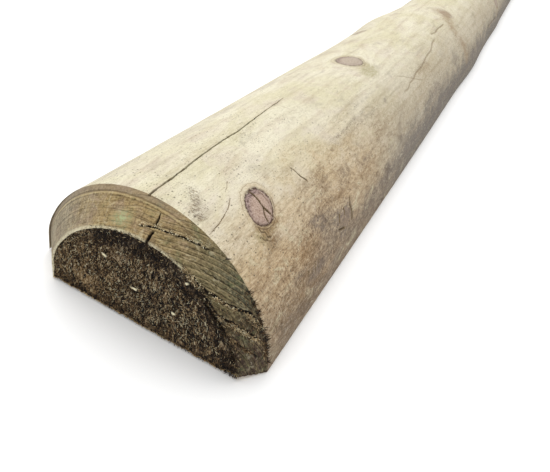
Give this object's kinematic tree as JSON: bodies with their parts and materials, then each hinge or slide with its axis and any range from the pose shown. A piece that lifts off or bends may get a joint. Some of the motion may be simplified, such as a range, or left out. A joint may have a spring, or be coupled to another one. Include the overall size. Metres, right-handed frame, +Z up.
{
  "type": "half-round log",
  "caption": "Peeled, round-turned softwood log sawn in two along its length, with chamfered ends, flush knots, node swellings and drying cracks.",
  "frame": {"origin": "middle of the log's base: the centre of its bounding box in X and Y, on the sawn face", "axes": "+Z up out of the sawn face towards the crown, +Y along the log from the end nearest the picture's camera to the far end, +X to the right of someone looking along +Y"},
  "size_m": [0.1071, 1.2028, 0.0478],
  "materials": {
    "weathered_wood": "matte, weathered"
  },
  "bodies": {
    "root": {"half_round_log": "weathered_wood"}
  },
  "joints": []
}
